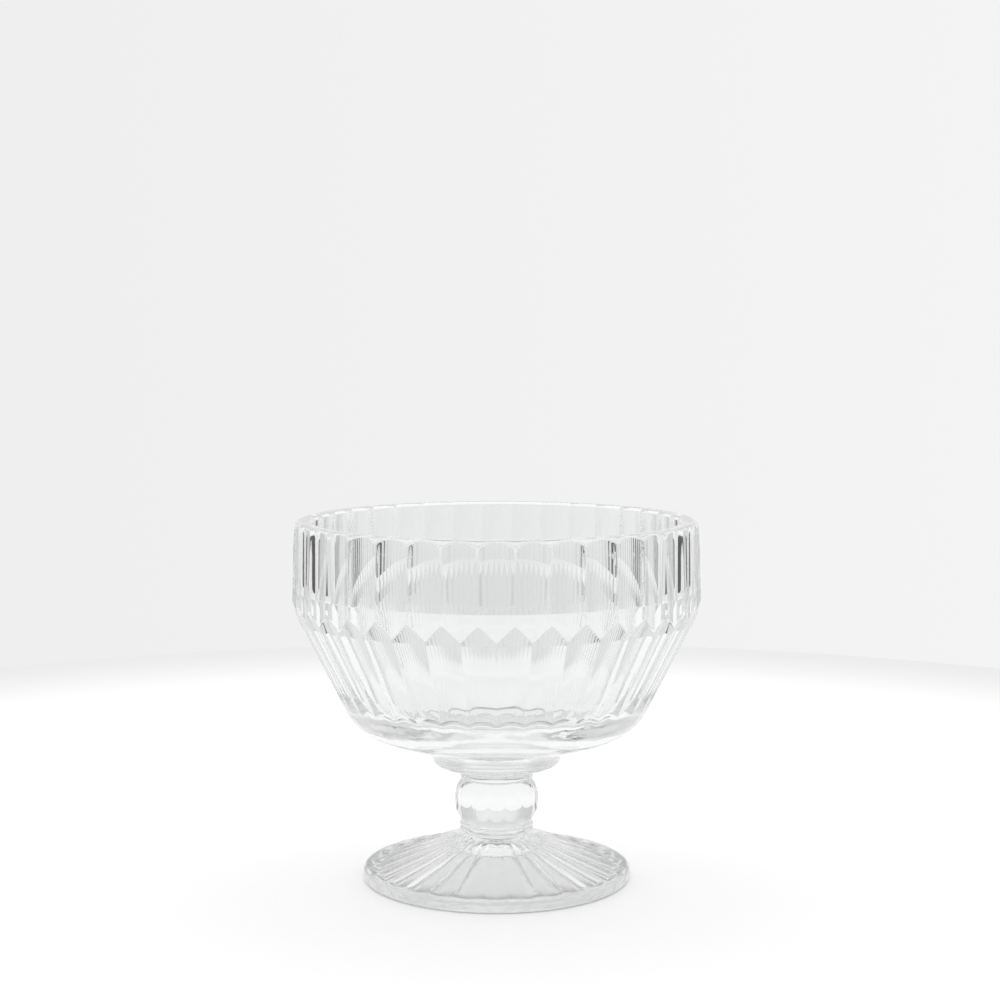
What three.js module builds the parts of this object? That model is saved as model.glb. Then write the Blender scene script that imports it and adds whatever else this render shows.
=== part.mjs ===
// Footed dessert bowl in clear pressed glass: a fluted bowl on a collar, a ball knop, a second collar
// and a fluted foot. The five pieces meet on flat round weld faces.
// Millimetres, +Z up the bowl's axis, origin at the centre of the foot's resting face, front at -Y.
import * as THREE from "three";

// Round weld faces, from the foot up
const WELD_RADIUS = 9.8;
const FOOT_TOP_Z = 13.2;
const KNOP_BASE_Z = 16.4;
const KNOP_TOP_Z = 28.7;
const BOSS_FACE_Z = 30.4;

// Flutes of the bowl: the band's cusps stand over the middles of the cone's flutes
const BOWL_FLUTES = 38;
const STEPS_PER_FLUTE = 6;
const SMOOTH_STEPS = 76;

// Band: concave upright flutes between sharp cusps
const RIM_Z = 103.5;
const RIM_RADIUS = 57.5;
const BAND_FLARE = 0.7;
const BAND_FLUTE_DEPTH = 1.0;
const RIM_ROUND = 2.0;
const MOUTH_ROUND = 1.2;
const RIM_STEPS = 4;

// Cone: concave sloping flutes between sharp ridges
const ZIGZAG_PEAK_Z = 81.2;
const CONE_SLOPE = 0.51;
const CONE_FLUTE_DEPTH = 1.25;
const FLUTE_FADE_Z = 55.5;
const FLUTE_END_Z = 51.5;

// Heel, underside and boss
const UNDERSIDE_SLOPE = 0.339;
const UNDERSIDE_START_Z = 36.6;
const HEEL_ROUND = 15.0;
const BOSS_RADIUS = 18.1;
const BOSS_EDGE_Z = 33.3;
const BOSS_ROUND = 2.4;
const BOSS_WAIST = 19.0;
const BOSS_WAIST_ROUND = 1.2;

// Inside of the bowl, by the glass between it and the outside
const RIM_WALL = 5.3;
const BAND_WALL = 6.2;
const INNER_CORNER_RISE = 2.5;
const INNER_SHOULDER_DROP = 4.9;
const INNER_SHOULDER_SLOPE = 0.25;
const INNER_CORNER_ROUND = 2.0;
const BASE_THICKNESS = 17.9;
const FLOOR_SLOPE = 0.1;
const INNER_HEEL_ROUND = 5.0;

// Knop
const KNOP_FLUTES = 12;
const KNOP_END_RADIUS = 10.0;
const KNOP_BULGE = 1.9;
const KNOP_FULLNESS = 2.6;
const KNOP_FLUTE_DEPTH = 0.55;
const KNOP_RINGS = 9;

// Collars
const COLLAR_STEPS = 60;
const UPPER_COLLAR_RADIUS = 10.5;
const LOWER_COLLAR_RADIUS = 10.6;
const LOWER_COLLAR_GROOVE = 10.1;
const BEAD_RINGS = 4;

// Foot
const FOOT_FLUTES = 28;
const FOOT_RADIUS = 38.5;
const FOOT_EDGE_Z = 3.2;
const FOOT_EDGE_ROUND = 1.2;
const FOOT_BAND = 2.0;
const FOOT_FLUTE_DEPTH = 1.6;
const FOOT_TRUMPET = 1.2;
const FOOT_RINGS = 4;
const BEARING_WIDTH = 6.0;
const HOLLOW_ROOF = 5.7;
const HOLLOW_RADIUS = 13.0;
const FOOT_UNDER_STEPS = 84;

const TURN = 2 * Math.PI;
const FRONT = -Math.PI / 2;

// Distance from the nearest of count marks round the circle, one at the front: 0 on a mark, 1 midway.
function fromMark(angle, count) {
  const pitches = ((angle - FRONT) * count) / TURN;
  return 2 * Math.abs(pitches - Math.round(pitches));
}

// A ring of points; radius and height are numbers or functions of the angle.
function ring(steps, radius, height) {
  const points = [];
  for (let i = 0; i < steps; i++) {
    const angle = FRONT + (TURN * i) / steps;
    const r = typeof radius === "function" ? radius(angle) : radius;
    const z = typeof height === "function" ? height(angle) : height;
    points.push(new THREE.Vector3(r * Math.cos(angle), r * Math.sin(angle), z));
  }
  return points;
}

// One closed skin over rings in order, from a point on the axis, out, up and round to the axis again.
function skin(bottomZ, rings, topZ) {
  const loops = [[new THREE.Vector3(0, 0, bottomZ)], ...rings, [new THREE.Vector3(0, 0, topZ)]];
  const positions = loops.flat().flatMap((p) => [p.x, p.y, p.z]);
  const faces = [];
  let start = 0;
  for (let n = 0; n + 1 < loops.length; n++) {
    const lower = loops[n].length;
    const upper = loops[n + 1].length;
    const next = start + lower;
    let i = lower === 1 ? lower : 0;
    let k = upper === 1 ? upper : 0;
    while (i < lower || k < upper) {
      const a = start + (i % lower);
      const b = next + (k % upper);
      const lowerFirst = (i + 0.5) / lower <= (k + 0.5) / upper;
      if (k === upper || (i < lower && lowerFirst)) {
        faces.push(a, start + ((i + 1) % lower), b);
        i++;
      } else {
        faces.push(a, next + ((k + 1) % upper), b);
        k++;
      }
    }
    start = next;
  }
  const geometry = new THREE.BufferGeometry();
  geometry.setAttribute("position", new THREE.Float32BufferAttribute(positions, 3));
  geometry.setIndex(faces);
  geometry.computeVertexNormals();
  return geometry;
}

// Points along the arc of the given radius that rounds the corner at b between a and c.
function roundCorner(a, b, c, radius, steps) {
  const toA = a.clone().sub(b).normalize();
  const toC = c.clone().sub(b).normalize();
  const half = Math.acos(THREE.MathUtils.clamp(toA.dot(toC), -1, 1)) / 2;
  const middle = toA.clone().add(toC).normalize();
  const centre = b.clone().addScaledVector(middle, radius / Math.sin(half));
  const first = b.clone().addScaledVector(toA, radius / Math.tan(half)).sub(centre);
  const last = b.clone().addScaledVector(toC, radius / Math.tan(half)).sub(centre);
  const sweep = Math.atan2(first.cross(last), first.dot(last));
  const points = [];
  for (let i = 0; i <= steps; i++) {
    const turned = first.clone().rotateAround(new THREE.Vector2(), (sweep * i) / steps);
    points.push(turned.add(centre));
  }
  return points;
}

// Rings through (radius, height) points of a smooth profile.
function turned(steps, points) {
  return points.map((p) => ring(steps, p.x, p.y));
}

// Bowl
const FLUTED_STEPS = BOWL_FLUTES * STEPS_PER_FLUTE;
const bandFootRadius = RIM_RADIUS + BAND_FLARE;
const bandDraft = BAND_FLARE / (RIM_Z - ZIGZAG_PEAK_Z);

// A cone ridge is on the front line, and a band flute's middle above it.
function bandRadius(angle, z) {
  const fromCusp = 1 - fromMark(angle, BOWL_FLUTES);
  const cusp = bandFootRadius - bandDraft * (z - ZIGZAG_PEAK_Z);
  return cusp - BAND_FLUTE_DEPTH * (1 - (1 - fromCusp) ** 2);
}

// The ridges lie on this cone, and at the zigzag's peaks a flute's middle meets a cusp of the band.
function ridgeRadius(z) {
  return bandFootRadius + CONE_FLUTE_DEPTH + CONE_SLOPE * (z - ZIGZAG_PEAK_Z);
}

function coneRadius(angle, z) {
  const ridge = ridgeRadius(z);
  const narrowing = Math.min(1, ridge / ridgeRadius(ZIGZAG_PEAK_Z)) ** 2;
  const fade = THREE.MathUtils.smoothstep(z, FLUTE_END_Z, FLUTE_FADE_Z);
  const fromMiddle = 1 - fromMark(angle, BOWL_FLUTES);
  return ridge - CONE_FLUTE_DEPTH * narrowing * fade * (1 - fromMiddle ** 2);
}

// Height at which the band's flutes and the cone's flutes cut each other: a zigzag round the shoulder.
function zigzagHeight(angle) {
  const zigzagDrop = (BAND_FLUTE_DEPTH + CONE_FLUTE_DEPTH) / CONE_SLOPE;
  let low = ZIGZAG_PEAK_Z - 1.5 * zigzagDrop;
  let high = ZIGZAG_PEAK_Z + 0.5 * zigzagDrop;
  for (let i = 0; i < 40; i++) {
    const z = (low + high) / 2;
    if (coneRadius(angle, z) < bandRadius(angle, z)) low = z;
    else high = z;
  }
  return (low + high) / 2;
}

// The inside has a short slope behind the zigzag, between its upright wall and its cone.
function makeBowl() {
  const face = new THREE.Vector2(WELD_RADIUS, BOSS_FACE_Z);
  const bossEdge = new THREE.Vector2(BOSS_RADIUS, BOSS_EDGE_Z);
  const waist = new THREE.Vector2(BOSS_WAIST, UNDERSIDE_START_Z);
  const heelRun = ridgeRadius(UNDERSIDE_START_Z) - BOSS_WAIST;
  const heelRise = (heelRun * UNDERSIDE_SLOPE) / (1 - CONE_SLOPE * UNDERSIDE_SLOPE);
  const heelZ = UNDERSIDE_START_Z + heelRise;
  const heel = new THREE.Vector2(ridgeRadius(heelZ), heelZ);
  const fluteEnd = new THREE.Vector2(ridgeRadius(FLUTE_END_Z), FLUTE_END_Z);
  const outside = [
    ...turned(SMOOTH_STEPS, [face]),
    ...turned(SMOOTH_STEPS, roundCorner(face, bossEdge, waist, BOSS_ROUND, 4)),
    ...turned(SMOOTH_STEPS, roundCorner(bossEdge, waist, heel, BOSS_WAIST_ROUND, 2)),
    ...turned(SMOOTH_STEPS, roundCorner(waist, heel, fluteEnd, HEEL_ROUND, 5)),
    ring(FLUTED_STEPS, fluteEnd.x, fluteEnd.y),
  ];

  const fadeMiddle = (FLUTE_END_Z + FLUTE_FADE_Z) / 2;
  for (const z of [fadeMiddle, FLUTE_FADE_Z]) {
    outside.push(ring(FLUTED_STEPS, (angle) => coneRadius(angle, z), z));
  }
  outside.push(ring(FLUTED_STEPS, (angle) => bandRadius(angle, zigzagHeight(angle)), zigzagHeight));

  for (let i = 0; i <= RIM_STEPS; i++) {
    const turn = ((Math.PI / 2) * i) / RIM_STEPS;
    const z = RIM_Z - RIM_ROUND * (1 - Math.sin(turn));
    const rounded = RIM_RADIUS - RIM_ROUND * (1 - Math.cos(turn));
    outside.push(ring(FLUTED_STEPS, (angle) => Math.min(bandRadius(angle, z), rounded), z));
  }

  const rim = new THREE.Vector2(RIM_RADIUS, RIM_Z);
  const mouth = new THREE.Vector2(RIM_RADIUS - RIM_WALL, RIM_Z);
  const corner = new THREE.Vector2(bandFootRadius - BAND_WALL, ZIGZAG_PEAK_Z + INNER_CORNER_RISE);
  const shoulderRun = INNER_SHOULDER_SLOPE * (INNER_CORNER_RISE + INNER_SHOULDER_DROP);
  const shoulder = new THREE.Vector2(corner.x - shoulderRun, ZIGZAG_PEAK_Z - INNER_SHOULDER_DROP);
  const floor = new THREE.Vector2(0, BOSS_FACE_Z + BASE_THICKNESS);
  const coneAtFloor = shoulder.x - CONE_SLOPE * (shoulder.y - floor.y);
  const innerHeelRadius = coneAtFloor / (1 - CONE_SLOPE * FLOOR_SLOPE);
  const innerHeel = new THREE.Vector2(innerHeelRadius, floor.y + FLOOR_SLOPE * innerHeelRadius);
  const inside = [
    ...roundCorner(rim, mouth, corner, MOUTH_ROUND, 3),
    ...roundCorner(mouth, corner, shoulder, INNER_CORNER_ROUND, 1),
    ...roundCorner(corner, shoulder, innerHeel, INNER_CORNER_ROUND, 1),
    ...roundCorner(shoulder, innerHeel, floor, INNER_HEEL_ROUND, 4),
  ];
  return skin(BOSS_FACE_Z, [...outside, ...turned(SMOOTH_STEPS, inside)], floor.y);
}

// Rings of a bead whose section is a half wave between two end radii.
function bead(lowZ, highZ, radius, lowRadius, highRadius) {
  const rings = [];
  for (let i = 0; i <= BEAD_RINGS; i++) {
    const along = i / BEAD_RINGS;
    const ends = THREE.MathUtils.lerp(lowRadius, highRadius, along);
    const swell = (radius - ends) * Math.sin(Math.PI * along);
    rings.push(ring(COLLAR_STEPS, ends + swell, THREE.MathUtils.lerp(lowZ, highZ, along)));
  }
  return rings;
}

// Upper collar: one rounded ring
function makeUpperCollar() {
  const rings = bead(KNOP_TOP_Z, BOSS_FACE_Z, UPPER_COLLAR_RADIUS, WELD_RADIUS, WELD_RADIUS);
  return skin(KNOP_TOP_Z, rings, BOSS_FACE_Z);
}

// Lower collar: two rounded rings with a groove between them
function makeLowerCollar() {
  const grooveZ = (FOOT_TOP_Z + KNOP_BASE_Z) / 2;
  const lower = bead(FOOT_TOP_Z, grooveZ, LOWER_COLLAR_RADIUS, WELD_RADIUS, LOWER_COLLAR_GROOVE);
  const upper = bead(grooveZ, KNOP_BASE_Z, LOWER_COLLAR_RADIUS, LOWER_COLLAR_GROOVE, WELD_RADIUS);
  return skin(FOOT_TOP_Z, [...lower, ...upper.slice(1)], KNOP_BASE_Z);
}

// Knop: a barrel with concave flutes, a cusp at the front
function makeKnop() {
  const steps = KNOP_FLUTES * STEPS_PER_FLUTE;
  const middle = (KNOP_BASE_Z + KNOP_TOP_Z) / 2;
  const half = (KNOP_TOP_Z - KNOP_BASE_Z) / 2;
  const rings = [ring(steps, WELD_RADIUS, KNOP_BASE_Z)];
  for (let i = 0; i < KNOP_RINGS; i++) {
    const u = -Math.cos((Math.PI * (i + 0.5)) / KNOP_RINGS);
    const cusp = KNOP_END_RADIUS + KNOP_BULGE * (1 - Math.abs(u) ** KNOP_FULLNESS);
    const depth = KNOP_FLUTE_DEPTH * (1 - u ** 2);
    const radius = (angle) => cusp - depth * (1 - (1 - fromMark(angle, KNOP_FLUTES)) ** 2);
    rings.push(ring(steps, radius, middle + half * u));
  }
  rings.push(ring(steps, WELD_RADIUS, KNOP_TOP_Z));
  return skin(KNOP_BASE_Z, rings, KNOP_TOP_Z);
}

// Height of the foot's ridges, which rise like a trumpet from its edge to the weld.
function footRidge(radius) {
  const along = (FOOT_RADIUS - radius) / (FOOT_RADIUS - WELD_RADIUS);
  return FOOT_EDGE_Z + (FOOT_TOP_Z - FOOT_EDGE_Z) * along ** FOOT_TRUMPET;
}

// Foot: radial flutes that start inside a plain band round the edge, hollow below inside a flat bearing ring
function makeFoot() {
  const hollow = new THREE.Vector2(HOLLOW_RADIUS, FOOT_TOP_Z - HOLLOW_ROOF);
  const bearing = new THREE.Vector2(FOOT_RADIUS - BEARING_WIDTH, 0);
  const tip = new THREE.Vector2(FOOT_RADIUS, 0);
  const edge = new THREE.Vector2(FOOT_RADIUS, FOOT_EDGE_Z);
  const bandEnd = new THREE.Vector2(FOOT_RADIUS - FOOT_BAND, footRidge(FOOT_RADIUS - FOOT_BAND));
  const rings = turned(FOOT_UNDER_STEPS, [
    hollow,
    bearing,
    ...roundCorner(bearing, tip, edge, FOOT_EDGE_ROUND, 2),
    ...roundCorner(tip, edge, bandEnd, FOOT_EDGE_ROUND, 2),
    bandEnd,
  ]);
  for (let i = 0; i <= FOOT_RINGS; i++) {
    const radius = THREE.MathUtils.lerp(bandEnd.x - FOOT_BAND, WELD_RADIUS, i / FOOT_RINGS);
    const depth = i < FOOT_RINGS ? FOOT_FLUTE_DEPTH * (radius / FOOT_RADIUS) ** 2 : 0;
    const height = (angle) => footRidge(radius) - depth * (1 - fromMark(angle, FOOT_FLUTES) ** 2);
    rings.push(ring(FOOT_FLUTES * STEPS_PER_FLUTE, radius, height));
  }
  return skin(hollow.y, rings, FOOT_TOP_Z);
}

function glass() {
  return new THREE.MeshStandardMaterial({ color: 0xf1f3f3, roughness: 0.06, metalness: 0 });
}

const group = new THREE.Group();
group.name = "footed_dessert_bowl";
const pieces = {
  bowl: makeBowl,
  upper_collar: makeUpperCollar,
  knop: makeKnop,
  lower_collar: makeLowerCollar,
  foot: makeFoot,
};
for (const [name, make] of Object.entries(pieces)) {
  const mesh = new THREE.Mesh(make(), glass());
  mesh.name = name;
  group.add(mesh);
}
export default group;
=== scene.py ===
# %% [markdown]
# # A footed dessert bowl in clear pressed glass
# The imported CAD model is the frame: it says where each piece of glass starts and ends.
# Each piece is then modelled again with a finer skin, because glass shows every facet twice, once by
# reflection and once by what it bends. All lengths are metres, +Z is up and the front is at -Y.

import math

import bpy
import numpy as np
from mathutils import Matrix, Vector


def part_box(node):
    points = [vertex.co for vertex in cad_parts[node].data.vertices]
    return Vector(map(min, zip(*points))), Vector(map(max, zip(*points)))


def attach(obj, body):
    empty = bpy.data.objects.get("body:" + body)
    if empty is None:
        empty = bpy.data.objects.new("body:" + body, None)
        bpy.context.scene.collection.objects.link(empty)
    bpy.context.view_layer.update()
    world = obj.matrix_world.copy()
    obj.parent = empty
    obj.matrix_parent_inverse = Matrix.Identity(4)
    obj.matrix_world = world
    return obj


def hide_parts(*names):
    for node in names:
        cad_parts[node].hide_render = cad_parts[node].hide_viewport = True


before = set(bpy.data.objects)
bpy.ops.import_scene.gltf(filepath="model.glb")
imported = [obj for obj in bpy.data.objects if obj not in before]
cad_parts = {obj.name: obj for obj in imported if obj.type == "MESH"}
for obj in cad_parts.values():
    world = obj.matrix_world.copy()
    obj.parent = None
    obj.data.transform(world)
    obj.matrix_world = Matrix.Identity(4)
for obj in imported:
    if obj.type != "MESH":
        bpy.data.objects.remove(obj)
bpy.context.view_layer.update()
print("frame nodes:", sorted(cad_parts))

# %% [markdown]
# ## Sizes that the pieces share
# Ware like this is joined while the glass is hot. Here the pieces meet on flat round welds. The heights of
# the welds are read from the frame, so a change in the CAD model moves the fine pieces with it.

# %% Weld heights and rim
MM = 0.001
FOOT_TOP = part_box("foot")[1].z
KNOP_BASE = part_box("knop")[0].z
KNOP_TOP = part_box("knop")[1].z
BOSS_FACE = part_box("bowl")[0].z
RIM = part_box("bowl")[1].z
WELD_RADIUS = 9.8 * MM
weld_heights = [round(z / MM, 2) for z in (FOOT_TOP, KNOP_BASE, KNOP_TOP, BOSS_FACE)]
print("welds at", weld_heights, "mm, rim at", round(RIM / MM, 2), "mm")

# %% [markdown]
# ## One wedge, copied round the axis
# A mould for pressed glass is cut flute by flute, and the model is made the same way. A grid is one
# wedge of the skin: its columns run across one flute, its rows run along the section from the axis,
# round the outside and back to the axis. A section function gives every point of a row its radius and
# height, and Spin copies the wedge round the axis. Spinning a plain profile would be quicker, but it
# could make no flutes.

# %% Wedge helper
FRONT = -math.pi / 2
CROWDING = 0.72
MERGE_DISTANCE = 1e-6
SLIVER_LENGTH = 1e-7
SHARP_ANGLE = math.radians(40)


def crowded(across):
    """Columns drawn towards the middle and the sides of a flute, where its sharp lines are."""
    return across - CROWDING * np.sin(4 * np.pi * across) / (4 * np.pi)


def pressed_piece(name, wedges, columns, section):
    """A closed piece made of equal wedges. section(across) lists the radius and height of each row."""
    rows = len(section(np.zeros(1)))
    bpy.ops.object.select_all(action="DESELECT")
    bpy.ops.mesh.primitive_grid_add(x_subdivisions=columns, y_subdivisions=rows - 1, size=1)
    piece = bpy.context.object
    piece.name = piece.data.name = name
    points = np.empty(len(piece.data.vertices) * 3)
    piece.data.vertices.foreach_get("co", points)
    points = points.reshape(-1, 3)
    across = crowded(points[:, 0])
    row = np.rint((points[:, 1] + 0.5) * (rows - 1)).astype(int)
    radius, height = np.array(section(across)).transpose(1, 0, 2)[:, row, np.arange(len(row))]
    angle = FRONT + 2 * np.pi * across / wedges
    placed = np.column_stack([radius * np.cos(angle), radius * np.sin(angle), height])
    piece.data.vertices.foreach_set("co", placed.ravel())
    bpy.ops.object.mode_set(mode="EDIT")
    bpy.ops.mesh.select_all(action="SELECT")
    turn = 2 * math.pi * (wedges - 1) / wedges
    bpy.ops.mesh.spin(steps=wedges - 1, dupli=True, angle=turn, center=(0, 0, 0), axis=(0, 0, 1))
    bpy.ops.mesh.select_all(action="SELECT")
    bpy.ops.mesh.remove_doubles(threshold=MERGE_DISTANCE)
    bpy.ops.mesh.dissolve_degenerate(threshold=SLIVER_LENGTH)
    bpy.ops.mesh.normals_make_consistent(inside=False)
    bpy.ops.object.mode_set(mode="OBJECT")
    bpy.ops.object.shade_smooth_by_angle(angle=SHARP_ANGLE)
    print(name, "faces:", len(piece.data.polygons))
    return piece


print("columns of half a flute:", np.round(crowded(np.linspace(0, 0.5, 6)), 3).tolist())

# %% [markdown]
# ## Sections of straight runs and arcs
# The plain parts of a glass mould are turned on a lathe, so in section they are straight runs with
# rounded corners. These helpers list the points of both. A Bevel modifier would round every corner by
# one width, and here each corner has its own.

# %% Section helpers
def rounded(a, b, c, radius, steps):
    """Points of the arc that rounds corner b between a and c, as (radius, height) pairs."""
    a, b, c = (np.array(p, float) for p in (a, b, c))
    to_a = (a - b) / np.linalg.norm(a - b)
    to_c = (c - b) / np.linalg.norm(c - b)
    half = math.acos(float(np.clip(to_a @ to_c, -1, 1))) / 2
    middle = (to_a + to_c) / np.linalg.norm(to_a + to_c)
    centre = b + middle * radius / math.sin(half)
    first = b + to_a * radius / math.tan(half) - centre
    last = b + to_c * radius / math.tan(half) - centre
    sweep = math.atan2(first[0] * last[1] - first[1] * last[0], first @ last)
    arc = []
    for turn in np.linspace(0, sweep, steps):
        cos, sin = math.cos(turn), math.sin(turn)
        arm = (cos * first[0] - sin * first[1], sin * first[0] + cos * first[1])
        arc.append((centre[0] + arm[0], centre[1] + arm[1]))
    return arc


def straight(a, b, steps):
    """Points between a and b, without the ends."""
    return [tuple(p) for p in np.linspace(a, b, steps + 2)[1:-1]]


def weld_cap(height, steps=2):
    """The flat round face of a weld, from the axis to its edge."""
    return [(0, height)] + straight((0, height), (WELD_RADIUS, height), steps) + [(WELD_RADIUS, height)]


def smooth_rows(points, across):
    """Rows without flutes: every column of a row has the same radius and height."""
    return [(np.full_like(across, radius), np.full_like(across, height)) for radius, height in points]


print("a right corner as an arc:", np.round(rounded((1, 0), (0, 0), (0, 1), 0.5, steps=3), 3).tolist())

# %% [markdown]
# ## Fire-polished lines
# Two flutes meet in a sharp line, and the fire that polishes the glass rounds it a little. One helper
# rounds the line between two flutes of a set, and the other rounds the line where two surfaces cross.

# %% Line helpers
def soft_distance(distance, softness):
    """0 to 1 away from a sharp line, with the line itself rounded off as fire polishing leaves it."""
    full = math.sqrt(1 + softness**2) - softness
    return (np.sqrt(distance**2 + softness**2) - softness) / full


def smooth_least(a, b, width):
    """The lesser of two surfaces, rounded where they cross."""
    near = np.clip(width - np.abs(a - b), 0, None) / width
    return np.minimum(a, b) - near**2 * width / 4


print("a crossing of two surfaces:", smooth_least(np.array([-1.0, 0.0, 1.0]), np.zeros(3), 0.5).tolist())

# %% [markdown]
# ## The bowl
# Upright hollow flutes run round the band, and sloping hollow flutes run down the cone, half a flute
# further round. Where the two sets cut each other the shoulder is a zigzag. It isn't drawn: the skin is
# at each place the lesser of the two fluted surfaces, so the zigzag falls out of the two cuts, as it
# does in the mould.

# %% Bowl: fluted surfaces
BOWL_FLUTES = 38
RIM_RADIUS = 57.5 * MM
BAND_FOOT_RADIUS = 58.2 * MM
BAND_FLUTE_DEPTH = 1.0 * MM
ZIGZAG_PEAK = 81.2 * MM
CONE_SLOPE = 0.51
CONE_FLUTE_DEPTH = 1.25 * MM
FLUTE_FADE = 55.5 * MM
FLUTE_END = 51.5 * MM
LINE_SOFTNESS = 0.04


def ridge_radius(height):
    """Radius of the cone's ridges."""
    return BAND_FOOT_RADIUS + CONE_FLUTE_DEPTH + CONE_SLOPE * (height - ZIGZAG_PEAK)


def band_radius(across, height):
    """Hollow flutes between cusps. The wedge's middle is the middle of a flute."""
    draft = (BAND_FOOT_RADIUS - RIM_RADIUS) / (RIM - ZIGZAG_PEAK)
    from_cusp = soft_distance(1 - 2 * np.abs(across), LINE_SOFTNESS)
    return BAND_FOOT_RADIUS - draft * (height - ZIGZAG_PEAK) - BAND_FLUTE_DEPTH * (1 - (1 - from_cusp) ** 2)


def cone_radius(across, height):
    """Hollow flutes between ridges. The wedge's middle is a ridge."""
    ridge = ridge_radius(height)
    narrowing = np.minimum(1, ridge / ridge_radius(ZIGZAG_PEAK)) ** 2
    fade = np.clip((height - FLUTE_END) / (FLUTE_FADE - FLUTE_END), 0, 1)
    fade = fade**2 * (3 - 2 * fade)
    from_ridge = soft_distance(2 * np.abs(across), LINE_SOFTNESS)
    return ridge - CONE_FLUTE_DEPTH * narrowing * fade * (1 - (1 - from_ridge) ** 2)


flute_width = 2 * math.pi * BAND_FOOT_RADIUS / BOWL_FLUTES
print("flutes of the band:", round(flute_width / MM, 2), "mm wide at the shoulder")

# %% [markdown]
# ## The zigzag and the rim
# The mesh needs the zigzag's height, so that its rows can follow that line and keep it crisp. It is found
# by halving, at the height where the two fluted surfaces have one radius. At the top, a round ring trims
# the flutes: it cuts the cusps off lower than the hollows between them, which makes the rim's scallops.

# %% Bowl: zigzag and rim
ZIGZAG_LOWEST = ZIGZAG_PEAK - 6 * MM
ZIGZAG_HIGHEST = ZIGZAG_PEAK + 1 * MM
HALVINGS = 30
RIM_OUTER_ROUND = 2.0 * MM
BAND_TOP = RIM - RIM_OUTER_ROUND


def zigzag_height(across):
    """Where the two sets of flutes cut each other."""
    low = np.full_like(across, ZIGZAG_LOWEST)
    high = np.full_like(across, ZIGZAG_HIGHEST)
    for _ in range(HALVINGS):
        middle = (low + high) / 2
        on_cone = cone_radius(across, middle) < band_radius(across, middle)
        low, high = np.where(on_cone, middle, low), np.where(on_cone, high, middle)
    return (low + high) / 2


def rim_ring_radius(height):
    """The round ring of the rim. Below it the radius grows, out of the band's way."""
    over = np.clip(height - BAND_TOP, 0, RIM_OUTER_ROUND)
    below_ring = np.clip(BAND_TOP - height, 0, None)
    return RIM_RADIUS - RIM_OUTER_ROUND + np.sqrt(RIM_OUTER_ROUND**2 - over**2) + below_ring


zigzag_ends = zigzag_height(np.array([0.0, 0.5]))
print("zigzag between heights of", np.round(zigzag_ends / MM, 2).tolist(), "mm")

# %% [markdown]
# ## The bowl's smooth outside
# The heel, the underside and the boss over the stem have no flutes. Where these turn, the glass works as
# a lens, so the corners are true arcs and not bevels.

# %% Bowl: smooth outside
UNDERSIDE_SLOPE = 0.339
UNDERSIDE_START = 36.6 * MM
HEEL_ROUND = 15 * MM
BOSS_RADIUS = 18.1 * MM
BOSS_EDGE = 33.3 * MM
BOSS_ROUND = 2.4 * MM
BOSS_WAIST = 19.0 * MM
BOSS_WAIST_ROUND = 1.2 * MM

weld_edge = (WELD_RADIUS, BOSS_FACE)
boss_edge = (BOSS_RADIUS, BOSS_EDGE)
waist = (BOSS_WAIST, UNDERSIDE_START)
heel_run = ridge_radius(UNDERSIDE_START) - BOSS_WAIST
heel_height = UNDERSIDE_START + heel_run * UNDERSIDE_SLOPE / (1 - CONE_SLOPE * UNDERSIDE_SLOPE)
heel = (ridge_radius(heel_height), heel_height)
flute_end = (ridge_radius(FLUTE_END), FLUTE_END)
below = weld_cap(BOSS_FACE, steps=3) + straight(weld_edge, boss_edge, steps=2)
below += rounded(weld_edge, boss_edge, waist, BOSS_ROUND, steps=8)
below += rounded(boss_edge, waist, heel, BOSS_WAIST_ROUND, steps=6)
below += straight(waist, heel, steps=2)
below += rounded(waist, heel, flute_end, HEEL_ROUND, steps=12)
print("rows below the flutes:", len(below))

# %% [markdown]
# ## The bowl's inside
# The inside has no flutes either, because a smooth plunger pressed it. From the mouth down it is an upright
# wall, a short slope behind the shoulder, the cone and a shallow floor.

# %% Bowl: inside
MOUTH_RADIUS = 52.2 * MM
INNER_WALL_RADIUS = 52.0 * MM
INNER_CORNER = 83.7 * MM
INNER_SHOULDER = 76.3 * MM
INNER_SHOULDER_SLOPE = 0.25
INNER_CORNER_ROUND = 2 * MM
FLOOR = 48.3 * MM
FLOOR_SLOPE = 0.1
INNER_HEEL_ROUND = 5 * MM
RIM_ROUND = 1.2 * MM

mouth = (MOUTH_RADIUS, RIM)
corner = (INNER_WALL_RADIUS, INNER_CORNER)
shoulder = (INNER_WALL_RADIUS - INNER_SHOULDER_SLOPE * (INNER_CORNER - INNER_SHOULDER), INNER_SHOULDER)
inner_heel_radius = (shoulder[0] - CONE_SLOPE * (INNER_SHOULDER - FLOOR)) / (1 - CONE_SLOPE * FLOOR_SLOPE)
inner_heel = (inner_heel_radius, FLOOR + FLOOR_SLOPE * inner_heel_radius)
floor_centre = (0, FLOOR)
inside = rounded((RIM_RADIUS, RIM), mouth, corner, RIM_ROUND, steps=7)
inside += straight(mouth, corner, steps=3)
inside += rounded(mouth, corner, shoulder, INNER_CORNER_ROUND, steps=4)
inside += rounded(corner, shoulder, inner_heel, INNER_CORNER_ROUND, steps=4)
inside += straight(shoulder, inner_heel, steps=3)
inside += rounded(shoulder, inner_heel, floor_centre, INNER_HEEL_ROUND, steps=10)
inside += straight(inside[-1], floor_centre, steps=4) + [floor_centre]
print("rows inside:", len(inside))

# %% [markdown]
# ## Pressing the bowl
# The fluted rows stand between the smooth ones. They are close together along the zigzag and round the
# rim, where the skin turns sharply, and far apart on the straight flutes. Subdividing everything would
# give the same lines only with many times the faces.

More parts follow.
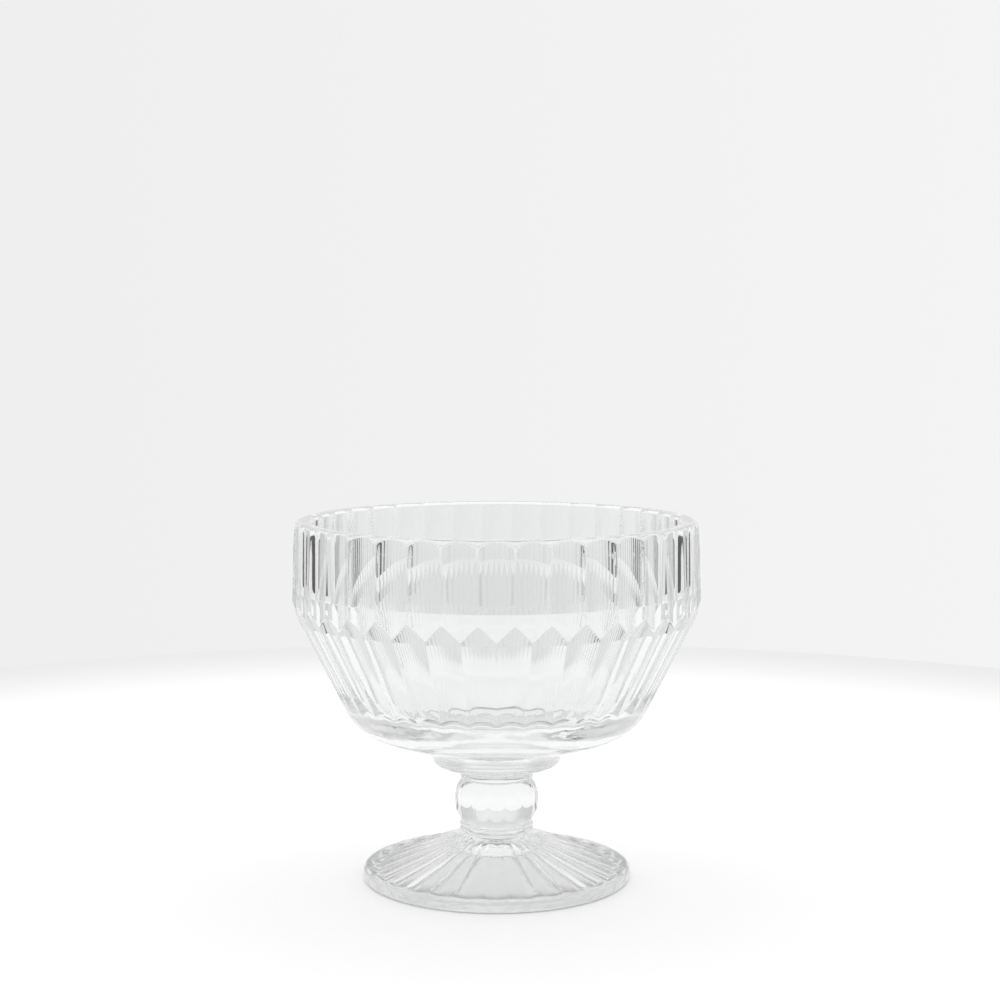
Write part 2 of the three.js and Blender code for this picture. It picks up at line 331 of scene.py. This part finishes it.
# %% Bowl: press it
BOWL_COLUMNS = 20
FADE_ROWS = 8
CONE_ROWS = 7
BAND_ROWS = 6
RIM_ROWS = 12
FROM_ZIGZAG = np.array([-0.9, -0.5, -0.28, -0.15, -0.06, 0, 0.06, 0.15, 0.28, 0.5, 0.9]) * MM
SHOULDER_ROUND = 0.25 * MM
RIM_BLEND = 0.25 * MM


def fluted_heights(zigzag):
    """Heights of the fluted rows, from the heel over the zigzag to the rim."""
    level = np.ones_like(zigzag)
    cone_top, band_base = zigzag + FROM_ZIGZAG[0], zigzag + FROM_ZIGZAG[-1]
    fade_shares = (np.arange(FADE_ROWS) + 0.5) / FADE_ROWS
    cone_shares = (np.arange(CONE_ROWS) + 0.5) / CONE_ROWS
    band_shares = np.linspace(0, 1, BAND_ROWS + 2)[1:-1]
    rim_turns = np.linspace(0, math.pi / 2, RIM_ROWS)
    heights = [level * (FLUTE_END + (FLUTE_FADE - FLUTE_END) * share) for share in fade_shares]
    heights += [FLUTE_FADE + (cone_top - FLUTE_FADE) * share for share in cone_shares]
    heights += [zigzag + step for step in FROM_ZIGZAG]
    heights += [band_base + (BAND_TOP - band_base) * share for share in band_shares]
    heights += [level * (BAND_TOP + RIM_OUTER_ROUND * math.sin(turn)) for turn in rim_turns]
    return heights


def bowl_section(across):
    """Smooth rows below, fluted rows outside, smooth rows inside."""
    fluted = []
    for height in fluted_heights(zigzag_height(across)):
        flutes = smooth_least(band_radius(across, height), cone_radius(across, height), SHOULDER_ROUND)
        fluted.append((smooth_least(flutes, rim_ring_radius(height), RIM_BLEND), height))
    return smooth_rows(below, across) + fluted + smooth_rows(inside, across)


bowl = pressed_piece("bowl_glass", BOWL_FLUTES, BOWL_COLUMNS, bowl_section)

# %% [markdown]
# ## The collars
# Two collars, rings of glass, hide the welds above and below the knop: a thin single ring and a double one.
# A torus could give the ring, but not the flat weld faces, so each is a turned section.

# %% Collars
COLLAR_WEDGES = 24
COLLAR_COLUMNS = 12
UPPER_COLLAR_RADIUS = 10.5 * MM
LOWER_COLLAR_RADIUS = 10.6 * MM
LOWER_COLLAR_GROOVE = 10.1 * MM
BEAD_ROWS = 13


def bead(low, high, radius, low_radius, high_radius):
    """The section of one rounded ring between two heights."""
    along = np.linspace(0, 1, BEAD_ROWS)
    base = low_radius + (high_radius - low_radius) * along
    return list(zip(base + (radius - base) * np.sin(np.pi * along), low + (high - low) * along))


def collar(name, beads):
    """A ring with no flutes, its section closed on the axis by its two weld faces."""
    low, high = beads[0][1], beads[-1][1]
    closed = weld_cap(low)[:-1] + beads + weld_cap(high)[-2::-1]
    return pressed_piece(name, COLLAR_WEDGES, COLLAR_COLUMNS, lambda across: smooth_rows(closed, across))


upper_bead = bead(KNOP_TOP, BOSS_FACE, UPPER_COLLAR_RADIUS, WELD_RADIUS, WELD_RADIUS)
upper_collar = collar("upper_collar_glass", upper_bead)
groove = (FOOT_TOP + KNOP_BASE) / 2
lower_beads = bead(FOOT_TOP, groove, LOWER_COLLAR_RADIUS, WELD_RADIUS, LOWER_COLLAR_GROOVE)
lower_beads += bead(groove, KNOP_BASE, LOWER_COLLAR_RADIUS, LOWER_COLLAR_GROOVE, WELD_RADIUS)[1:]
lower_collar = collar("lower_collar_glass", lower_beads)

# %% [markdown]
# ## The knop
# The knop is a ball drawn up into a barrel, with upright flutes that die out at both ends, so their depth
# follows its swell. A scaled sphere would be too pointed at the ends, so its outline is a formula with a
# fullness of its own.

# %% Knop
KNOP_FLUTES = 12
KNOP_COLUMNS = 36
KNOP_ROWS = 33
KNOP_END_RADIUS = 10.0 * MM
KNOP_BULGE = 1.9 * MM
KNOP_FULLNESS = 2.6
KNOP_FLUTE_DEPTH = 0.55 * MM


def knop_section(across):
    """Flat caps on the welds, and between them a barrel whose flutes have a cusp at the front."""
    from_cusp = soft_distance(2 * np.abs(across), LINE_SOFTNESS)
    barrel = []
    for u in -np.cos(np.linspace(0, np.pi, KNOP_ROWS)):
        cusp = KNOP_END_RADIUS + KNOP_BULGE * (1 - abs(u) ** KNOP_FULLNESS)
        radius = cusp - KNOP_FLUTE_DEPTH * (1 - u**2) * (1 - (1 - from_cusp) ** 2)
        height = (KNOP_BASE + KNOP_TOP) / 2 + (KNOP_TOP - KNOP_BASE) / 2 * u
        barrel.append((radius, np.full_like(across, height)))
    low_cap, high_cap = weld_cap(KNOP_BASE), weld_cap(KNOP_TOP)[::-1]
    return smooth_rows(low_cap, across) + barrel + smooth_rows(high_cap, across)


knop = pressed_piece("knop_glass", KNOP_FLUTES, KNOP_COLUMNS, knop_section)

# %% [markdown]
# ## The foot
# The foot is a low trumpet whose hollow flutes fan out and die into a plain rounded band at its edge.
# Below it is hollow inside a flat ring, so that it stands without rocking. A spun disc with flutes drawn
# on by a texture would look right from above only, so the flutes are in the wedge itself.

# %% Foot: smooth underside and edge
FOOT_RADIUS = 38.5 * MM
FOOT_EDGE = 3.2 * MM
FOOT_EDGE_ROUND = 1.2 * MM
FOOT_BAND = 2 * MM
FOOT_TRUMPET = 1.2
BEARING_INNER_RADIUS = 32.5 * MM
BEARING_ROUND = 0.8 * MM
HOLLOW = 7.5 * MM
HOLLOW_RADIUS = 13 * MM
HOLLOW_ROUND = 6 * MM


def foot_ridge(radius):
    """Height of the trumpet's ridges."""
    along = (FOOT_RADIUS - radius) / (FOOT_RADIUS - WELD_RADIUS)
    return FOOT_EDGE + (FOOT_TOP - FOOT_EDGE) * along**FOOT_TRUMPET


hollow_centre = (0, HOLLOW)
hollow_edge = (HOLLOW_RADIUS, HOLLOW)
bearing = (BEARING_INNER_RADIUS, 0)
edge_base = (FOOT_RADIUS, 0)
edge_top = (FOOT_RADIUS, FOOT_EDGE)
band_edge = (FOOT_RADIUS - FOOT_BAND, foot_ridge(FOOT_RADIUS - FOOT_BAND))
under = [hollow_centre] + straight(hollow_centre, hollow_edge, steps=3)
under += rounded(hollow_centre, hollow_edge, bearing, HOLLOW_ROUND, steps=5)
under += straight(hollow_edge, bearing, steps=6)
under += rounded(hollow_edge, bearing, edge_base, BEARING_ROUND, steps=4)
under += rounded(bearing, edge_base, edge_top, FOOT_EDGE_ROUND, steps=6)
under += rounded(edge_base, edge_top, band_edge, FOOT_EDGE_ROUND, steps=6)
print("rows below the foot and round its edge:", len(under))

# %% [markdown]
# ## Pressing the foot
# The flutes are deepest near the edge, where they are widest, and run out under the collar. Their depth is
# therefore a share of their own width's square, eased in from the band and out at the weld.

# %% Foot: press it
FOOT_FLUTES = 28
FOOT_COLUMNS = 20
FOOT_TOP_ROWS = 34
FOOT_FLUTE_DEPTH = 1.6 * MM
WELD_EASE = 8


def foot_section(across):
    """Smooth rows below and round the edge, then flutes with a hollow in the wedge's middle."""
    from_ridge = soft_distance(1 - 2 * np.abs(across), LINE_SOFTNESS)
    fluted = []
    for along in np.linspace(0, 1, FOOT_TOP_ROWS):
        radius = band_edge[0] + (WELD_RADIUS - band_edge[0]) * along
        begun = min((band_edge[0] - radius) / FOOT_BAND, 1)
        eased = begun**2 * (3 - 2 * begun) * (1 - along**WELD_EASE)
        depth = FOOT_FLUTE_DEPTH * (radius / FOOT_RADIUS) ** 2 * eased
        height = foot_ridge(radius) - depth * (1 - (1 - from_ridge) ** 2)
        fluted.append((np.full_like(across, radius), height))
    return smooth_rows(under, across) + fluted + smooth_rows(weld_cap(FOOT_TOP)[-2::-1], across)


foot = pressed_piece("foot_glass", FOOT_FLUTES, FOOT_COLUMNS, foot_section)

# %% [markdown]
# ## Node helpers
# The glass, the table and the studio are all built of shader nodes. Two short helpers keep that readable:
# one gives a node's input a number or a link, and the other takes a value from one range to another.

# %% Node helpers
def feed(socket, value):
    """Gives a node's input a number or a link."""
    if isinstance(value, bpy.types.NodeSocket):
        socket.id_data.links.new(value, socket)
    else:
        socket.default_value = value


def ranged(value, low, high, to_low, to_high, ease="LINEAR"):
    """A link's value taken from one range to another, and held at the ends."""
    node = value.id_data.nodes.new("ShaderNodeMapRange")
    node.interpolation_type = ease
    feed(node.inputs["Value"], value)
    for name, given in (("From Min", low), ("From Max", high), ("To Min", to_low), ("To Max", to_high)):
        feed(node.inputs[name], given)
    return node.outputs["Result"]


print("helpers:", feed.__name__, ranged.__name__)

# %% [markdown]
# ## Mould ripples
# Pressed glass is clear, but not perfect: the mould chills its skin, which leaves faint ripples and a
# little haze, and the fire that polishes it rounds them off again. One node group makes ripples, haze and
# tint for every finish. Shader nodes give this everywhere at once, where modelled ripples would need
# millions of faces.

# %% Mould ripple group
RIPPLE_DETAIL = 1.5
PATCHES_PER_METRE = 35
PATCH_DETAIL = 4
PATCH_CLEAR, PATCH_HAZY = 0.35, 0.75
CLEAR_TINT = (0.942, 0.946, 0.947, 1)
GREY_TINT = (0.918, 0.925, 0.927, 1)


def mould_ripple_group():
    """A group that puts out a height for Bump, a haze for Roughness and a tint for Base Color."""
    group = bpy.data.node_groups.new("mould_ripple", "ShaderNodeTree")
    sockets = group.interface
    for name in ("Ripples per metre", "Haze"):
        sockets.new_socket(name, in_out="INPUT", socket_type="NodeSocketFloat")
    outputs = (("Height", "NodeSocketFloat"), ("Haze", "NodeSocketFloat"), ("Tint", "NodeSocketColor"))
    for name, kind in outputs:
        sockets.new_socket(name, in_out="OUTPUT", socket_type=kind)
    add = group.nodes.new
    given, out, place = add("NodeGroupInput"), add("NodeGroupOutput"), add("ShaderNodeTexCoord")
    ripples, patches = add("ShaderNodeTexNoise"), add("ShaderNodeTexNoise")
    for noise, scale, detail in ((ripples, given.outputs["Ripples per metre"], RIPPLE_DETAIL),
                                 (patches, PATCHES_PER_METRE, PATCH_DETAIL)):
        feed(noise.inputs["Vector"], place.outputs["Object"])
        feed(noise.inputs["Scale"], scale)
        feed(noise.inputs["Detail"], detail)
    tint = add("ShaderNodeMix")
    tint.data_type = "RGBA"
    feed(tint.inputs["Factor"], patches.outputs["Fac"])
    feed(tint.inputs["A"], CLEAR_TINT)
    feed(tint.inputs["B"], GREY_TINT)
    haze = ranged(patches.outputs["Fac"], PATCH_CLEAR, PATCH_HAZY, 0, given.outputs["Haze"])
    feed(out.inputs["Height"], ripples.outputs["Fac"])
    feed(out.inputs["Haze"], haze)
    feed(out.inputs["Tint"], tint.outputs["Result"])
    return group


mould_ripple = mould_ripple_group()
print("group:", mould_ripple.name, "with", len(mould_ripple.nodes), "nodes")

# %% [markdown]
# ## Clear glass
# Three finishes use the group: the skin that met the mould, the smoother inside that met the plunger, and
# the hazier heel and underside, which were chilled first.

# %% Glass finishes
GLASS_IOR = 1.5


def clear_glass(name, ripples_per_metre, ripple_depth, haze):
    """Clear glass with ripples of its own."""
    finish = bpy.data.materials.new(name)
    finish.use_nodes = True
    nodes = finish.node_tree.nodes
    shader = nodes["Principled BSDF"]
    shader.inputs["IOR"].default_value = GLASS_IOR
    shader.inputs["Transmission Weight"].default_value = 1
    shader.inputs["Metallic"].default_value = 0
    marks = nodes.new("ShaderNodeGroup")
    marks.node_tree = mould_ripple
    marks.inputs["Ripples per metre"].default_value = ripples_per_metre
    marks.inputs["Haze"].default_value = haze
    bump = nodes.new("ShaderNodeBump")
    bump.inputs["Distance"].default_value = ripple_depth
    bump.inputs["Strength"].default_value = 1
    feed(bump.inputs["Height"], marks.outputs["Height"])
    feed(shader.inputs["Normal"], bump.outputs["Normal"])
    feed(shader.inputs["Roughness"], marks.outputs["Haze"])
    feed(shader.inputs["Base Color"], marks.outputs["Tint"])
    return finish


moulded = clear_glass("moulded_glass", ripples_per_metre=110, ripple_depth=0.06 * MM, haze=0.03)
polished = clear_glass("fire_polished_glass", ripples_per_metre=60, ripple_depth=0.03 * MM, haze=0.012)
chilled = clear_glass("chilled_glass", ripples_per_metre=260, ripple_depth=0.05 * MM, haze=0.18)
print("finishes:", [finish.name for finish in (moulded, polished, chilled)])

# %% [markdown]
# ## Welds
# At a weld the glass runs on without a surface. Each piece still needs a face there to be a closed
# solid, so those faces get a finish that shows nothing and bends nothing.

# %% Weld finish
weld = bpy.data.materials.new("weld")
weld.use_nodes = True
weld.node_tree.nodes["Principled BSDF"].inputs["Alpha"].default_value = 0
print("finish:", weld.name)

# %% [markdown]
# ## Where each finish goes
# A face's place and normal say which finish it has. By hand the faces would be picked in edit mode, and the
# same picking in code follows the pieces when a size is changed.

# %% Finish of each face
FINISHES = (moulded, polished, weld, chilled)
WELDS = {bowl: (BOSS_FACE,), upper_collar: (KNOP_TOP, BOSS_FACE), knop: (KNOP_BASE, KNOP_TOP),
         lower_collar: (FOOT_TOP, KNOP_BASE), foot: (FOOT_TOP,)}
SMALL = 0.01 * MM
LEVEL_NORMAL = 0.99
UNDERSIDE_NORMAL = -0.1
WALL_MARGIN = 3 * MM
CONE_MARGIN = 1.5 * MM


def on_plunger_side(radius, height):
    """Whether a place on the bowl's skin is inside. The margins end within the thickness of the glass."""
    cone_height = (radius - shoulder[0]) / CONE_SLOPE + INNER_SHOULDER
    above_floor = height > cone_height - CONE_MARGIN and height > FLOOR - SMALL
    return above_floor and radius < INNER_WALL_RADIUS + WALL_MARGIN


def finish_index(piece, face):
    """The place in FINISHES of one face's finish."""
    radius, height = math.hypot(face.center.x, face.center.y), face.center.z
    level = abs(face.normal.z) > LEVEL_NORMAL and radius < WELD_RADIUS
    if level and any(abs(height - weld_height) < SMALL for weld_height in WELDS[piece]):
        return FINISHES.index(weld)
    if piece is bowl and on_plunger_side(radius, height):
        return FINISHES.index(polished)
    if piece is bowl and height < FLUTE_END or piece is foot and face.normal.z < UNDERSIDE_NORMAL:
        return FINISHES.index(chilled)
    return FINISHES.index(moulded)


for piece in WELDS:
    for finish in FINISHES:
        piece.data.materials.append(finish)
    counts = [0] * len(FINISHES)
    for face in piece.data.polygons:
        face.material_index = finish_index(piece, face)
        counts[face.material_index] += 1
    print(piece.name, "moulded, polished, weld and chilled faces:", counts)

# %% [markdown]
# ## Fasten the pieces to the frame
# Each fine piece stands for one CAD node and moves with the object's one body.

# %% Ride and replace
STANDS_FOR = {bowl: "bowl", upper_collar: "upper_collar", knop: "knop",
              lower_collar: "lower_collar", foot: "foot"}
for piece, node in STANDS_FOR.items():
    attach(piece, "root")
    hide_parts(node)
print("pieces:", [p.name for p in STANDS_FOR])

# %% [markdown]
# ## Table
# Glass is lit by what stands round it, and it shows little else. The bowl stands on a round white table,
# a hair below the foot so that the two share no face. A plane would do as well, but a round edge shows as
# an even line from every side.

# %% Table
TABLE_RADIUS = 0.41
TABLE_SIDES = 128
TABLE_DROP = 0.05 * MM
TABLE_WHITE = 0.74
TABLE_ROUGHNESS = 0.9
bpy.ops.object.select_all(action="DESELECT")
bpy.ops.mesh.primitive_circle_add(
    vertices=TABLE_SIDES, radius=TABLE_RADIUS, fill_type="NGON", location=(0, 0, -TABLE_DROP))
table = bpy.context.object
table.name = "table"
pale = bpy.data.materials.new("pale_table")
pale.use_nodes = True
table.data.materials.append(pale)
table_nodes = pale.node_tree.nodes
table_shader = table_nodes["Principled BSDF"]
table_shader.inputs["Base Color"].default_value = (TABLE_WHITE, TABLE_WHITE, TABLE_WHITE, 1)
table_shader.inputs["Roughness"].default_value = TABLE_ROUGHNESS
table_shader.inputs["Specular IOR Level"].default_value = 0
table_shader.inputs["Emission Color"].default_value = (1, 1, 1, 1)
print("table:", 2 * TABLE_RADIUS, "m across")

# %% [markdown]
# ## Glow of the table
# The table glows a little, as a photographer's light table does, so that the glass isn't dark from below.
# Under the edge of the foot the glow is cut nearly to nothing, a painted contact shadow, and it sinks
# towards the table's edge, so that the edge melts into the backdrop. Every ray sees the same glow.

# %% Table glow
TABLE_GLOW = 0.52
TABLE_EDGE_GLOW = 0.32
FOOT_CENTRE_GLOW = 0.5
FOOT_SHADOW_GLOW = 0.1
SHADE_RADIUS = 39 * MM
SHADE_START, SHADE_FULL, SHADE_END = 0.6 * SHADE_RADIUS, 0.9 * SHADE_RADIUS, 0.95 * SHADE_RADIUS
GLOW_SINKS_FROM = 0.7 * TABLE_RADIUS
here = table_nodes.new("ShaderNodeTexCoord")
outward = table_nodes.new("ShaderNodeVectorMath")
outward.operation = "LENGTH"
feed(outward.inputs[0], here.outputs["Object"])
from_axis = outward.outputs["Value"]
# Painted contact shadow: the table's glow drops to a low level under the edge of the foot.
painted_foot_shadow = ranged(from_axis, SHADE_START, SHADE_FULL, FOOT_CENTRE_GLOW, FOOT_SHADOW_GLOW, "SMOOTHSTEP")
open_table = ranged(from_axis, GLOW_SINKS_FROM, TABLE_RADIUS, TABLE_GLOW, TABLE_EDGE_GLOW, "SMOOTHSTEP")
table_glow = ranged(from_axis, SHADE_END, SHADE_RADIUS, painted_foot_shadow, open_table, "SMOOTHSTEP")
feed(table_shader.inputs["Emission Strength"], table_glow)
print("table nodes:", len(table_nodes))

# %% [markdown]
# ## Flags
# Clear glass on white has little to show. A photographer stands black cards, called flags, to the left
# and right outside the picture, and the flutes bend them into the dark streaks that draw the glass. These
# stand low and far off, one pair nearer the middle and a taller pair further out. The camera doesn't see
# them, so that none stands in the way when the bowl is looked at from another side.

# %% Flags
NEAR_FLAG = {"from": 27, "to": 38, "low": -18, "high": -9.4}
OUTER_FLAG = {"from": 38, "to": 56, "low": -18, "high": -4}
FLAG_DISTANCE = 6.0
BAND_HEIGHT = 90 * MM
FELT_GREY = 0.05
felt = bpy.data.materials.new("black_felt")
felt.use_nodes = True
felt_shader = felt.node_tree.nodes["Principled BSDF"]
felt_shader.inputs["Base Color"].default_value = (FELT_GREY, FELT_GREY, FELT_GREY, 1)
felt_shader.inputs["Roughness"].default_value = 1


def stand_flag(flag_angles, side):
    """A black card, seen from the bowl's band between the given side angles and elevations in degrees."""
    width = 2 * FLAG_DISTANCE * math.tan(math.radians(flag_angles["to"] - flag_angles["from"]) / 2)
    bottom = BAND_HEIGHT + FLAG_DISTANCE * math.tan(math.radians(flag_angles["low"]))
    top = BAND_HEIGHT + FLAG_DISTANCE * math.tan(math.radians(flag_angles["high"]))
    turn = math.radians(side * (flag_angles["from"] + flag_angles["to"]) / 2)
    spot = (FLAG_DISTANCE * math.sin(turn), FLAG_DISTANCE * math.cos(turn), (bottom + top) / 2)
    bpy.ops.object.select_all(action="DESELECT")
    bpy.ops.mesh.primitive_plane_add(size=1, location=spot, rotation=(math.pi / 2, 0, -turn))
    flag = bpy.context.object
    flag.name = "flag"
    flag.scale = (width, top - bottom, 1)
    flag.visible_camera = False
    flag.data.materials.append(felt)
    print(flag.name, round(width, 2), "m wide,", round(top - bottom, 2), "m high")


for flag_angles in (NEAR_FLAG, OUTER_FLAG):
    for side in (-1, 1):
        stand_flag(flag_angles, side)

# %% [markdown]
# ## Studio
# The backdrop is a pale wall all round, palest straight behind the bowl, with a greyer stretch at each
# side of that. Every ray sees it alike: the glass shows the backdrop that the camera sees. Lamps could
# light the scene too, but each would show as a bright spot in every flute.

# %% Studio directions
world = bpy.data.worlds.new("studio")
bpy.context.scene.world = world
world.use_nodes = True
world_nodes = world.node_tree.nodes
direction = world_nodes.new("ShaderNodeSeparateXYZ")
feed(direction.inputs["Vector"], world_nodes.new("ShaderNodeTexCoord").outputs["Generated"])
bearing_angle = world_nodes.new("ShaderNodeMath")
bearing_angle.operation = "ARCTAN2"
feed(bearing_angle.inputs[0], direction.outputs["X"])
feed(bearing_angle.inputs[1], direction.outputs["Y"])
round_the_axis = ranged(bearing_angle.outputs["Value"], -math.pi, math.pi, 0, 1)
print("world:", world.name)

# %% [markdown]
# ## Greys of the studio
# Two helpers mix the studio's greys: one goes by the angle round the axis, the other by the elevation. A
# picture of a studio could light the glass as well, but here every level is in sight and easy to change.

# %% Studio helpers
def graded(levels):
    """A grey by the angle round the axis, from pairs of degrees and grey. Straight behind is 0."""
    ramp = world_nodes.new("ShaderNodeValToRGB")
    stops = ramp.color_ramp.elements
    while len(stops) < len(levels):
        stops.new(0.5)
    for stop, (degrees, grey) in zip(stops, levels):
        stop.position = (degrees + 180) / 360
        stop.color = (grey, grey, grey, 1)
    feed(ramp.inputs["Fac"], round_the_axis)
    level = world_nodes.new("ShaderNodeRGBToBW")
    feed(level.inputs["Color"], ramp.outputs["Color"])
    return level.outputs["Val"]


def stacked(low, high, below_it, above_it):
    """One grey below an elevation, another above a higher one, and a blend between. Degrees."""
    blend = world_nodes.new("ShaderNodeMix")
    blend.data_type = "FLOAT"
    start, end = math.sin(math.radians(low)), math.sin(math.radians(high))
    feed(blend.inputs["Factor"], ranged(direction.outputs["Z"], start, end, 0, 1))
    feed(blend.inputs["A"], below_it)
    feed(blend.inputs["B"], above_it)
    return blend.outputs["Result"]


print("helpers:", graded.__name__, stacked.__name__)

# %% [markdown]
# ## Backdrop, ring and sky
# Above the backdrop a ring of the studio is dark on the camera's side and pale elsewhere. Higher still the
# light is white overhead and behind, and sinks towards the camera's side, so that the glass has a darker
# place to reflect.

# %% Backdrop, ring and sky
BACKDROP_TOP = 10
RING_START = 14
SKY_START = 35
BACKDROP = ((-180, 0.6), (-140, 0.62), (-110, 0.75), (-60, 0.78), (-26, 0.64), (-15.5, 0.86), (0, 0.88),
            (15.5, 0.9), (26, 0.66), (60, 0.8), (110, 0.75), (140, 0.62), (180, 0.6))
UPPER_RING = ((-180, 0.08), (-140, 0.1), (-112, 0.7), (-80, 0.76), (0, 0.72), (80, 0.76), (112, 0.7),
              (140, 0.1), (180, 0.08))
SKY_DARK, SKY_WHITE = 0.15, 1.0
SKY_DARK_Y, SKY_WHITE_Y = -0.7, 0.1
sky = ranged(direction.outputs["Y"], SKY_DARK_Y, SKY_WHITE_Y, SKY_DARK, SKY_WHITE)
upper = stacked(RING_START, SKY_START, graded(UPPER_RING), sky)
feed(world_nodes["Background"].inputs["Color"], stacked(BACKDROP_TOP, RING_START, graded(BACKDROP), upper))
print("backdrop stops:", len(BACKDROP), "upper stops:", len(UPPER_RING))

# %% [markdown]
# ## Camera
# The photograph's viewpoint was worked out from the ellipses of the rim and the foot: how round each looks
# says how high the camera stood, and their sizes say how far off it was.

# %% Camera
CAMERA_DISTANCE = 557.7 * MM
CAMERA_HEIGHT = 159.7 * MM
CAMERA_PITCH = math.radians(5.21)
FOCAL_PIXELS = 1968.7
FRAME_PIXELS = 1000
AXIS_PIXEL = 496.5
SENSOR_WIDTH = 36
lens = bpy.data.cameras.new("camera")
lens.sensor_width = SENSOR_WIDTH
lens.lens = FOCAL_PIXELS * SENSOR_WIDTH / FRAME_PIXELS
camera = bpy.data.objects.new("camera", lens)
bpy.context.scene.collection.objects.link(camera)
yaw = math.atan((AXIS_PIXEL - FRAME_PIXELS / 2) / FOCAL_PIXELS)
camera.location = (0, -CAMERA_DISTANCE, CAMERA_HEIGHT)
camera.rotation_euler = (math.pi / 2 - CAMERA_PITCH, 0, yaw)
bpy.context.scene.camera = camera
print("camera at", [round(v / MM, 1) for v in camera.location], "mm")

# %% [markdown]
# ## Settings
# Light crosses and re-crosses many skins of glass before it gets out. With the usual few bounces it is
# dropped on the way, and the places that need more turn black.

# %% Settings
GLASS_BOUNCES = 32
scene = bpy.context.scene
scene.view_settings.view_transform = "Standard"
for bounces in ("max_bounces", "glossy_bounces", "transmission_bounces", "transparent_max_bounces"):
    setattr(scene.cycles, bounces, GLASS_BOUNCES)
print("bounces:", GLASS_BOUNCES)
